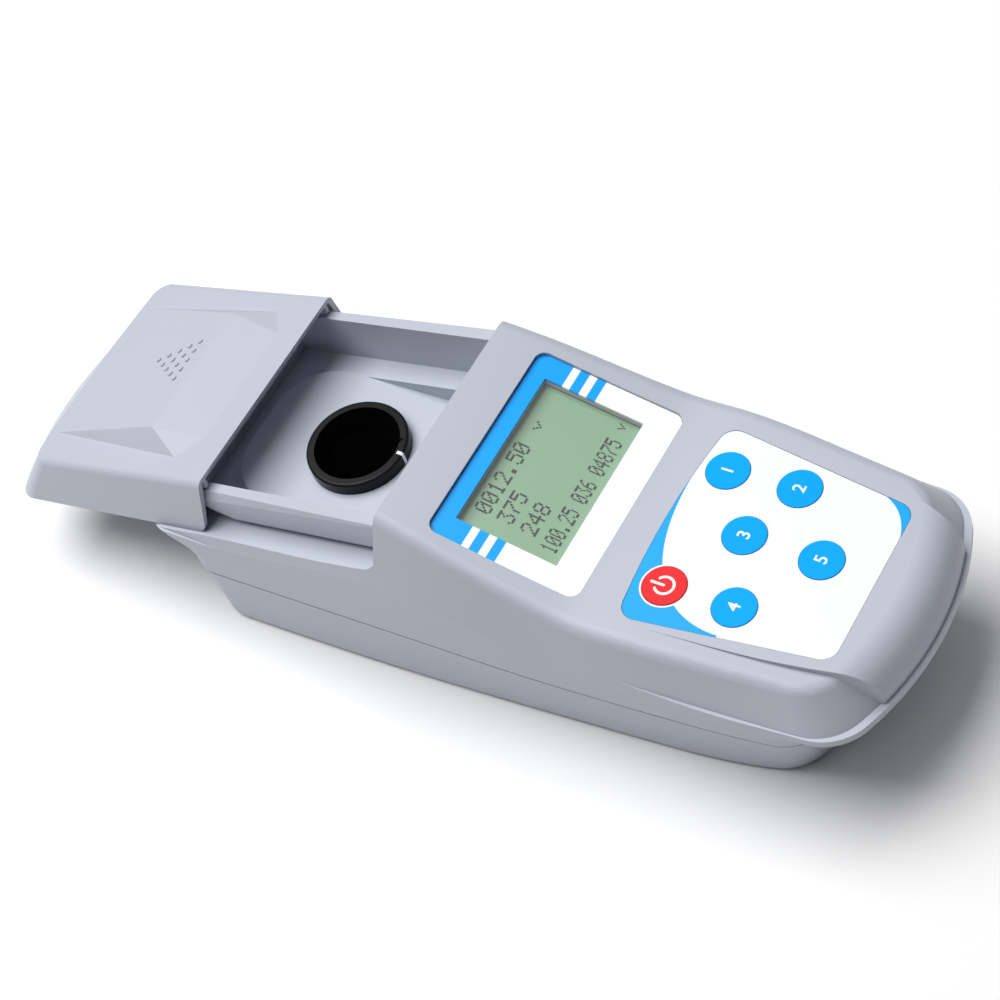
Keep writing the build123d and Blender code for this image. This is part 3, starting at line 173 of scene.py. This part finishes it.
class Finish:
    """one procedural material, built node by node"""

    def __init__(self, name):
        self.material = bpy.data.materials.new(name)
        self.material.use_nodes = True
        self.tree = self.material.node_tree
        self.surface = self.tree.nodes["Principled BSDF"]
        self.place = self.node("ShaderNodeTexCoord").outputs["Object"]
        split = self.node("ShaderNodeSeparateXYZ")
        self.join(self.place, split.inputs[0])
        self.x, self.y, self.z = [self.math("DIVIDE", axis, MM) for axis in split.outputs]

    def node(self, kind, **settings):
        made = self.tree.nodes.new(kind)
        for key, value in settings.items():
            setattr(made, key, value)
        return made

    def join(self, output, socket):
        self.tree.links.new(output, socket)

    def math(self, operation, first, second=0.0, clamp=False):
        made = self.node("ShaderNodeMath", operation=operation, use_clamp=clamp)
        for socket, value in zip(made.inputs, (first, second)):
            if isinstance(value, (int, float)):
                socket.default_value = value
            else:
                self.join(value, socket)
        return made.outputs[0]

    def set(self, **values):
        for key, value in values.items():
            self.surface.inputs[key.replace("_", " ")].default_value = value

    def noise(self, scale, detail=2.0, stretch=None):
        made = self.node("ShaderNodeTexNoise")
        made.inputs["Scale"].default_value = scale
        made.inputs["Detail"].default_value = detail
        place = self.place
        if stretch:
            mapping = self.node("ShaderNodeMapping")
            mapping.inputs["Scale"].default_value = stretch
            self.join(place, mapping.inputs["Vector"])
            place = mapping.outputs[0]
        self.join(place, made.inputs["Vector"])
        return made.outputs["Fac"]

    def mix(self, share, first, second):
        made = self.node("ShaderNodeMix", data_type="RGBA")
        self.join(share, made.inputs["Factor"])
        for socket, value in zip((made.inputs[6], made.inputs[7]), (first, second)):
            if isinstance(value, tuple):
                socket.default_value = value
            else:
                self.join(value, socket)
        return made.outputs[2]

    def inside(self, distance, blur=0.08):
        """1 where the distance is below zero, 0 above it"""
        return self.math("SUBTRACT", 0.5, self.math("DIVIDE", distance, blur), clamp=True)

    def band(self, value, low, high, blur=0.08):
        """1 where the value lies between low and high"""
        away = self.math("ABSOLUTE", self.math("SUBTRACT", value, (low + high) / 2))
        return self.inside(self.math("SUBTRACT", away, (high - low) / 2), blur)

    def disc(self, centre, radius, blur=0.08):
        """1 within the radius of a centre, seen from above"""
        across = self.math("POWER", self.math("SUBTRACT", self.x, centre[0]), 2.0)
        along = self.math("POWER", self.math("SUBTRACT", self.y, centre[1]), 2.0)
        away = self.math("SQRT", self.math("ADD", across, along))
        return self.inside(self.math("SUBTRACT", away, radius), blur)

    def colour(self, output):
        self.join(output, self.surface.inputs["Base Color"])
        return self

    def rough(self, share, low, high):
        """roughness that wanders between two values"""
        spread = self.node("ShaderNodeMapRange")
        spread.inputs["To Min"].default_value = low
        spread.inputs["To Max"].default_value = high
        self.join(share, spread.inputs["Value"])
        self.join(spread.outputs[0], self.surface.inputs["Roughness"])
        return self

    def bump(self, height, depth, strength=0.5):
        made = self.node("ShaderNodeBump")
        made.inputs["Strength"].default_value = strength
        made.inputs["Distance"].default_value = depth * MM
        self.join(height, made.inputs["Height"])
        self.join(made.outputs[0], self.surface.inputs["Normal"])
        return self


def moulded(name, light, dark, rough, grain=1800.0, depth=0.02, strength=0.35, **values):
    """plastic, film or rubber with a fine grain and a faint unevenness of colour"""
    finish = Finish(name)
    finish.set(**values)
    fine = finish.noise(grain, 3.0)
    finish.colour(finish.mix(finish.noise(16.0), light, dark))
    finish.rough(fine, *rough)
    finish.bump(fine, depth, strength)
    return finish


def metal(name, light, dark, rough, stretch=(1.0, 60.0, 60.0)):
    """metal with drawn or turned marks"""
    finish = Finish(name)
    finish.set(Metallic=1.0)
    marks = finish.noise(90.0, 4.0, stretch)
    finish.colour(finish.mix(marks, light, dark))
    finish.rough(marks, *rough)
    finish.bump(marks, 0.02, 0.3)
    return finish


def case_plastic():
    """satin blue-grey of the shells and the lid, with painted shade in the joint between the
    shells
    """
    finish = Finish("case_satin_seam_shade")
    finish.set(Specular_IOR_Level=0.3)
    fine = finish.noise(2400.0, 3.0)
    base = finish.mix(finish.noise(9.0), CASE_LIGHT, CASE_DARK)
    # painted shade: a dark band at the joint of the shells, also sunk as a groove in the bump
    seam_shade = finish.band(finish.z, SEAM_Z - SEAM_SHADE_HALF, SEAM_Z + SEAM_SHADE_HALF, SEAM_SHADE_BLUR)
    finish.colour(finish.mix(seam_shade, base, SEAM_SHADE))
    finish.rough(fine, 0.36, 0.46)
    height = finish.math("SUBTRACT", finish.math("MULTIPLY", fine, 0.05), seam_shade)
    finish.bump(height, 0.25, 0.6)
    return finish


def panel_print():
    """white film around the display, with its blue field and stripes"""
    finish = Finish("panel_print")
    finish.set(Specular_IOR_Level=0.25)
    blue = finish.inside(finish.math("SUBTRACT", PANEL_FIELD_Y, finish.y))
    for low, high in PANEL_STRIPES:
        blue = finish.math("ADD", blue, finish.band(finish.y, low, high), clamp=True)
    cloud = finish.noise(20.0)
    white = finish.mix(cloud, PANEL_WHITE, PANEL_WHITE_LOW)
    finish.colour(finish.mix(blue, white, finish.mix(cloud, BLUE, BLUE_DEEP)))
    fine = finish.noise(3200.0)
    finish.rough(fine, 0.30, 0.42)
    finish.bump(fine, 0.01, 0.25)
    return finish


def keypad_print():
    """white rounded field on blue, with a white ring around the power key"""
    finish = Finish("keypad_print")
    finish.set(Specular_IOR_Level=0.25)
    blue = 0.0
    for centre, halves, power in KEY_FIELD_CORNERS:
        shares = []
        for axis, middle, half in zip((finish.x, finish.y), centre, halves):
            share = finish.math("DIVIDE", finish.math("SUBTRACT", axis, middle), half)
            shares.append(finish.math("POWER", finish.math("MAXIMUM", share, 0.0), power))
        away = finish.math("POWER", finish.math("ADD", *shares), 1 / power)
        corner = finish.inside(finish.math("SUBTRACT", 1.0, away), KEY_FIELD_BLUR)
        for share in shares:
            corner = finish.math("MULTIPLY", corner, finish.math("GREATER_THAN", share, 0.0))
        blue = finish.math("ADD", blue, corner, clamp=True)
    power_at = key_centre("power_key")
    ring = finish.disc((power_at.x / MM, power_at.y / MM), KEY_RING_R)
    white = finish.math("ADD", finish.math("SUBTRACT", 1.0, blue), ring, clamp=True)
    cloud = finish.noise(20.0)
    pale = finish.mix(cloud, FILM_WHITE, FILM_WHITE_LOW)
    finish.colour(finish.mix(white, finish.mix(cloud, BLUE, BLUE_DEEP), pale))
    fine = finish.noise(3200.0)
    finish.rough(fine, 0.30, 0.42)
    finish.bump(fine, 0.01, 0.25)
    return finish


def ring_gloss():
    """glossy black collar with its white index mark"""
    finish = Finish("ring_gloss")
    finish.set(Specular_IOR_Level=0.15)
    across = finish.band(finish.x, INDEX_AT[0] - INDEX_HALF[0], INDEX_AT[0] + INDEX_HALF[0])
    along = finish.band(finish.y, INDEX_AT[1] - INDEX_HALF[1], INDEX_AT[1] + INDEX_HALF[1])
    mark = finish.math("MULTIPLY", across, along)
    cloud = finish.noise(30.0)
    black = finish.mix(cloud, srgb(14, 14, 16), srgb(19, 19, 21))
    finish.colour(finish.mix(mark, black, FILM_WHITE))
    fine = finish.noise(900.0)
    finish.rough(fine, 0.26, 0.34)
    finish.bump(fine, 0.006, 0.3)
    return finish


def board_print(name):
    """green solder mask with lighter tracks"""
    finish = Finish(name)
    tracks = finish.node("ShaderNodeTexVoronoi", feature="DISTANCE_TO_EDGE")
    tracks.inputs["Scale"].default_value = 260.0
    finish.join(finish.place, tracks.inputs["Vector"])
    line = finish.inside(finish.math("SUBTRACT", tracks.outputs["Distance"], 0.05), 0.03)
    mask = finish.mix(finish.noise(40.0), srgb(16, 92, 54), srgb(12, 82, 47))
    finish.colour(finish.mix(line, mask, srgb(34, 120, 72)))
    fine = finish.noise(1200.0)
    finish.rough(fine, 0.28, 0.40)
    finish.bump(line, 0.03, 0.4)
    return finish


def ribbon_print():
    """flat cable with the ridges of its wires"""
    finish = Finish("ribbon_cable")
    wires = finish.node("ShaderNodeTexWave", wave_type="BANDS", bands_direction="X")
    wires.inputs["Scale"].default_value = 320.0
    finish.join(finish.place, wires.inputs["Vector"])
    finish.colour(finish.mix(wires.outputs["Fac"], srgb(168, 168, 172), srgb(140, 140, 146)))
    finish.rough(finish.noise(600.0), 0.45, 0.6)
    finish.bump(wires.outputs["Fac"], 0.2, 0.5)
    return finish


def normal_of(tilt):
    """upward normal of a plane tilted towards the user"""
    return Vector((0.0, -math.sin(math.radians(tilt)), math.cos(math.radians(tilt))))


def rearward(tilt):
    """direction away from the user on that plane"""
    return Vector((0.0, math.cos(math.radians(tilt)), math.sin(math.radians(tilt))))


def reach(node, direction):
    """lowest and highest value of a node's corners along a direction"""
    values = [v.co.dot(direction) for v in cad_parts[node].data.vertices]
    return min(values), max(values)


def key_centre(node):
    """point in the middle of a key's top face"""
    low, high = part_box(node)
    centre = (low + high) / 2
    normal = normal_of(KEYPAD_TILT)
    return centre + normal * (reach(node, normal)[1] - centre.dot(normal))


def pick(*items):
    """selects these objects alone, with the first as the active one"""
    bpy.ops.object.select_all(action="DESELECT")
    for item in items:
        item.select_set(True)
    bpy.context.view_layer.objects.active = items[0]


def settle(item):
    """puts an object's place, turn and size into its mesh"""
    pick(item)
    bpy.ops.object.transform_apply(location=True, rotation=True, scale=True)


def lay(item, name, at, tilt):
    """lays a print that is modelled flat in millimetres on a tilted plane"""
    settle(item)
    turn = Matrix((Vector((1, 0, 0)), rearward(tilt), normal_of(tilt))).transposed().to_4x4()
    item.matrix_world = Matrix.Translation(at) @ turn @ Matrix.Scale(MM, 4)
    settle(item)
    item.name = item.data.name = name
    return item


def block(width, length, middle=(0.0, 0.0)):
    """flat block of a print's thickness, standing on the plane"""
    bpy.ops.object.select_all(action="DESELECT")
    bpy.ops.mesh.primitive_cube_add(size=1.0, location=(*middle, PRINT_T / 2))
    made = bpy.context.object
    made.scale = (width, length, PRINT_T)
    settle(made)
    return made


def bevel_uprights(item, offset, segments, chosen=lambda point: True):
    """bevels the upright edges of a print whose place is chosen"""
    pick(item)
    bpy.ops.object.mode_set(mode="EDIT")
    bpy.ops.mesh.select_mode(type="EDGE")
    bpy.ops.mesh.select_all(action="DESELECT")
    bpy.ops.object.mode_set(mode="OBJECT")
    points = item.data.vertices
    for edge in item.data.edges:
        first, last = [points[i].co for i in edge.vertices]
        edge.select = abs(first.z - last.z) > PRINT_T / 2 and chosen(first)
    bpy.ops.object.mode_set(mode="EDIT")
    bpy.ops.mesh.bevel(offset=offset, segments=segments, affect="EDGES")
    bpy.ops.object.mode_set(mode="OBJECT")


def display_dots():
    """dots of the display's glyphs, on the glass where the window shows them"""
    along, normal = rearward(PANEL_TILT), normal_of(PANEL_TILT)
    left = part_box("display_window")[0].x
    top = reach("display_window", along)[1]
    window_n = reach("display_window", normal)[1]
    glass_n = reach("lcd_glass", normal)[1]
    sight = (PANEL_AT - CAMERA_AT).normalized()
    run = (window_n - glass_n) / -sight.dot(normal)
    left += run * sight.x
    top += run * sight.dot(along)
    blocks, dots = {}, []
    for text, start, drop, pitch in DISPLAY_LINES:
        step = pitch / GLYPH_PITCH_DOTS
        if step not in blocks:
            blocks[step] = block(step * DOT_FILL, DOT_RISE * DOT_FILL)
            bevel_uprights(blocks[step], min(step, DOT_RISE) * DOT_FILL * DOT_CUT, 1)
        for place, glyph in enumerate(text):
            for row, bits in enumerate(GLYPHS[glyph]):
                for column in range(GLYPH_COLUMNS):
                    if bits >> (GLYPH_COLUMNS - 1 - column) & 1:
                        dot = blocks[step].copy()
                        dot.data = dot.data.copy()
                        dot.location.x = start + place * pitch + (column + 0.5) * step
                        dot.location.y = -(drop + (row + 0.5) * DOT_RISE)
                        bpy.context.scene.collection.objects.link(dot)
                        dots.append(dot)
    for spare in blocks.values():
        bpy.data.objects.remove(spare)
    pick(*dots)
    bpy.ops.object.join()
    at = Vector((left, 0, 0)) + along * top + normal * glass_n
    return lay(bpy.context.object, "display_digits", at, PANEL_TILT)


def extend_end(ring, middle, run):
    """pulls the end face of the broken ring straight on"""
    pick(ring)
    bpy.ops.object.mode_set(mode="EDIT")
    bpy.ops.mesh.select_mode(type="FACE")
    bpy.ops.mesh.select_all(action="DESELECT")
    bpy.ops.object.mode_set(mode="OBJECT")
    spot = middle + Vector((0.0, 0.0, PRINT_T / 2))
    nearest = min(ring.data.polygons, key=lambda face: (Vector(face.center) - spot).length)
    nearest.select = True
    bpy.ops.object.mode_set(mode="EDIT")
    bpy.ops.mesh.extrude_region_move(TRANSFORM_OT_translate={"value": run})
    bpy.ops.object.mode_set(mode="OBJECT")


def power_symbol():
    """broken ring and bar on the power key"""
    begin = math.radians(90 + SYMBOL_GAP)
    sweep = math.radians(360 - 2 * SYMBOL_GAP)
    spot = Vector((math.cos(begin), math.sin(begin), 0.0)) * SYMBOL_R
    bpy.ops.object.select_all(action="DESELECT")
    bpy.ops.mesh.primitive_plane_add(
        size=1.0,
        location=spot + Vector((0.0, 0.0, PRINT_T / 2)),
        rotation=(math.pi / 2, 0.0, begin),
    )
    ring = bpy.context.object
    ring.scale = (2 * SYMBOL_HALF, PRINT_T, 1.0)
    settle(ring)
    bpy.ops.object.mode_set(mode="EDIT")
    bpy.ops.mesh.select_all(action="SELECT")
    bpy.ops.mesh.spin(steps=SYMBOL_STEPS, angle=sweep, center=(0, 0, 0), axis=(0, 0, -1))
    bpy.ops.mesh.select_all(action="SELECT")
    bpy.ops.mesh.normals_make_consistent(inside=False)
    bpy.ops.object.mode_set(mode="OBJECT")
    for angle, side in ((begin, -1.0), (begin + sweep, 1.0)):
        outward = Vector((-math.sin(angle), math.cos(angle), 0.0)) * side
        middle = Vector((math.cos(angle), math.sin(angle), 0.0)) * SYMBOL_R
        extend_end(ring, middle, outward * SYMBOL_HALF)
        tip = middle + outward * SYMBOL_HALF

        def at_tip(point):
            away = point - tip
            return abs(away.dot(outward)) < SYMBOL_HALF / 4 and away.length < 2 * SYMBOL_HALF

        bevel_uprights(ring, SYMBOL_HALF * SYMBOL_ROUND, SYMBOL_ROUND_STEPS, at_tip)
    low, high = SYMBOL_BAR
    bar = block(2 * SYMBOL_HALF, high - low + 2 * SYMBOL_HALF, (0.0, (low + high) / 2))
    bevel_uprights(bar, SYMBOL_HALF * SYMBOL_ROUND, SYMBOL_ROUND_STEPS)
    pick(ring, bar)
    bpy.ops.object.join()
    return lay(ring, "power_symbol", key_centre("power_key"), KEYPAD_TILT)


def key_digit(node, digit):
    """plain number printed on a key"""
    bpy.ops.object.select_all(action="DESELECT")
    bpy.ops.object.text_add(location=(0.0, 0.0, PRINT_T / 2))
    drawn = bpy.context.object
    drawn.data.body = digit
    drawn.data.size = DIGIT_SIZE
    drawn.data.align_x = "CENTER"
    drawn.data.align_y = "CENTER"
    drawn.data.extrude = PRINT_T / 2
    drawn.data.offset = DIGIT_SWELL
    bpy.ops.object.convert(target="MESH")
    return lay(bpy.context.object, node + "_number", key_centre(node), KEYPAD_TILT)


def dress(item, finish):
    """gives one material to the whole of an object"""
    if item.material_slots:
        for slot in item.material_slots:
            slot.material = finish.material
    else:
        item.data.materials.append(finish.material)


# Camera
camera_data = bpy.data.cameras.new("camera")
camera_data.sensor_width = SENSOR
camera_data.lens = LENS
camera_data.clip_start = NEAREST_M
camera = bpy.data.objects.new("camera", camera_data)
bpy.context.scene.collection.objects.link(camera)
back = CAMERA_RIGHT.cross(CAMERA_UP).normalized()
up = back.cross(CAMERA_RIGHT).normalized()
turn = Matrix((back.cross(-up), up, back)).transposed().to_4x4()
camera.matrix_world = Matrix.Translation(CAMERA_AT) @ turn
bpy.context.scene.camera = camera

# Light and floor
bpy.context.scene.view_settings.view_transform = "Standard"
world = bpy.data.worlds.new("studio")
bpy.context.scene.world = world
world.use_nodes = True
tree = world.node_tree
sky = tree.nodes["Background"]
sky.inputs["Color"].default_value = (1.0, 1.0, 1.0, 1.0)
split = tree.nodes.new("ShaderNodeSeparateXYZ")
tree.links.new(tree.nodes.new("ShaderNodeTexCoord").outputs["Generated"], split.inputs[0])
rise = tree.nodes.new("ShaderNodeMapRange")
rise.inputs["From Min"].default_value = SKY_DARK_BELOW
rise.inputs["To Min"].default_value = 0.0
rise.inputs["To Max"].default_value = SKY_STRENGTH
tree.links.new(split.outputs[2], rise.inputs["Value"])
front = tree.nodes.new("ShaderNodeMapRange")
front.inputs["From Min"].default_value = SKY_FRONT[0]
front.inputs["From Max"].default_value = SKY_FRONT[1]
front.inputs["To Min"].default_value = SKY_FRONT_SHARE
front.inputs["To Max"].default_value = 1.0
tree.links.new(split.outputs[1], front.inputs["Value"])
both = tree.nodes.new("ShaderNodeMath")
both.operation = "MULTIPLY"
tree.links.new(rise.outputs[0], both.inputs[0])
tree.links.new(front.outputs[0], both.inputs[1])
tree.links.new(both.outputs[0], sky.inputs["Strength"])

lamp = bpy.data.lights.new("key_light", "AREA")
lamp.shape = "SQUARE"
lamp.size = LAMP_SIZE_M
lamp.energy = LAMP_POWER
holder = bpy.data.objects.new("key_light", lamp)
bpy.context.scene.collection.objects.link(holder)
aim = (LAMP_AIM - LAMP_AT).to_track_quat("-Z", "Y")
holder.matrix_world = Matrix.Translation(LAMP_AT) @ aim.to_matrix().to_4x4()

bpy.ops.object.select_all(action="DESELECT")
bpy.ops.mesh.primitive_plane_add(size=FLOOR_SIZE_M, location=(0.0, 0.0, cad_box[0][2]))
floor = bpy.context.object
floor.name = "floor"
settle(floor)
dress(floor, moulded("paper_floor", PAPER, PAPER_LOW, (0.7, 0.85), 300.0))

# Materials of the CAD pieces
smooth = {"rough": (0.30, 0.42), "grain": 3200.0, "depth": 0.01, "strength": 0.25}
clear = {"grain": 500.0, "depth": 0.002, "strength": 0.1}
epoxy = {"grain": 700.0, "depth": 0.004, "strength": 0.2}
key_blue = moulded("key_blue", BLUE, BLUE_DEEP, **smooth, Specular_IOR_Level=0.08)
key_red = moulded("key_red", RED, RED_DEEP, **smooth, Specular_IOR_Level=0.25)
print_white = moulded("print_white", FILM_WHITE, FILM_WHITE_LOW, **smooth)
case = case_plastic()
black_matt = moulded("chamber_black", srgb(24, 24, 25), srgb(20, 20, 21), (0.26, 0.40), 900.0)
board = board_print("solder_mask")
nickel = metal("nickel", srgb(214, 211, 202), srgb(196, 192, 182), (0.18, 0.30))
steel = metal("zinc_steel", srgb(188, 190, 194), srgb(164, 166, 170), (0.25, 0.38))
brass = metal("brass", srgb(214, 176, 104), srgb(190, 150, 82), (0.2, 0.34))
chip = moulded("chip_black", srgb(34, 34, 36), srgb(28, 28, 30), (0.45, 0.6), 1500.0)
bezel = moulded("bezel_black", srgb(30, 31, 31), srgb(24, 25, 25), (0.45, 0.6), 1500.0)
led = moulded(
    "clear_epoxy", srgb(236, 238, 232), srgb(228, 231, 226), (0.06, 0.14), **epoxy, Alpha=0.75
)
dark_epoxy = moulded("dark_epoxy", srgb(30, 22, 34), srgb(24, 18, 28), (0.08, 0.16), **epoxy)
lens = moulded("lens_glass", GLASS, GLASS_LOW, (0.02, 0.05), **clear, Alpha=0.4)
window = moulded("clear_window", CLEAR, CLEAR_LOW, (0.03, 0.06), **clear, Alpha=0.04)
lcd = moulded(
    "display_green", srgb(138, 177, 143), srgb(127, 166, 133), (0.25, 0.35), 2400.0, 0.01, 0.2
)
guide = moulded("light_guide", srgb(232, 236, 228), srgb(222, 226, 218), (0.2, 0.35), 800.0)
spacer = moulded("spacer_film", srgb(226, 227, 229), srgb(216, 217, 220), (0.35, 0.5), 1500.0)
amber = moulded("circuit_film", srgb(214, 178, 112), srgb(196, 158, 92), (0.2, 0.35), 260.0)
wrap = moulded("cell_wrap", srgb(52, 54, 60), srgb(40, 42, 48), (0.18, 0.3), 600.0)
ribbon = ribbon_print()
rubber = moulded(
    "foot_rubber", srgb(34, 34, 35), srgb(26, 26, 27), (0.7, 0.85), 900.0, 0.05, 0.5
)
finishes = {
    "upper_case": case,
    "lower_case": case,
    "sliding_lid": case,
    "battery_cover": case,
    "port_ring": ring_gloss(),
    "sample_chamber": black_matt,
    "source_lens": lens,
    "light_source": led,
    "scatter_detector": dark_epoxy,
    "transmitted_detector": dark_epoxy,
    "display_overlay": panel_print(),
    "display_window": window,
    "lcd_bezel": bezel,
    "lcd_glass": lcd,
    "backlight": guide,
    "lcd_board": board,
    "keypad_overlay": keypad_print(),
    "keypad_spacer": spacer,
    "membrane_circuit": amber,
    "dome_switches": steel,
    "power_key": key_red,
    "battery_cells": wrap,
    "battery_contacts": nickel,
    "battery_springs": nickel,
    "main_board": board,
    "board_components": chip,
    "buzzer": chip,
    "optics_board": board,
    "display_cable": ribbon,
    "optics_cable": ribbon,
    "case_screws": steel,
    "thread_inserts": brass,
    "board_screws": steel,
    "rubber_feet": rubber,
}
for name in KEY_DIGITS:
    finishes[name] = key_blue
for name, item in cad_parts.items():
    dress(item, finishes[name])

# Prints and display
digits = display_dots()
ink = moulded("display_ink", srgb(8, 16, 11), srgb(12, 20, 15), (0.5, 0.6), 2000.0)
dress(digits, ink)
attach(digits, "meter")
symbol = power_symbol()
dress(symbol, print_white)
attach(symbol, "power_key")
for name, digit in KEY_DIGITS.items():
    number = key_digit(name, digit)
    dress(number, print_white)
    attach(number, name)
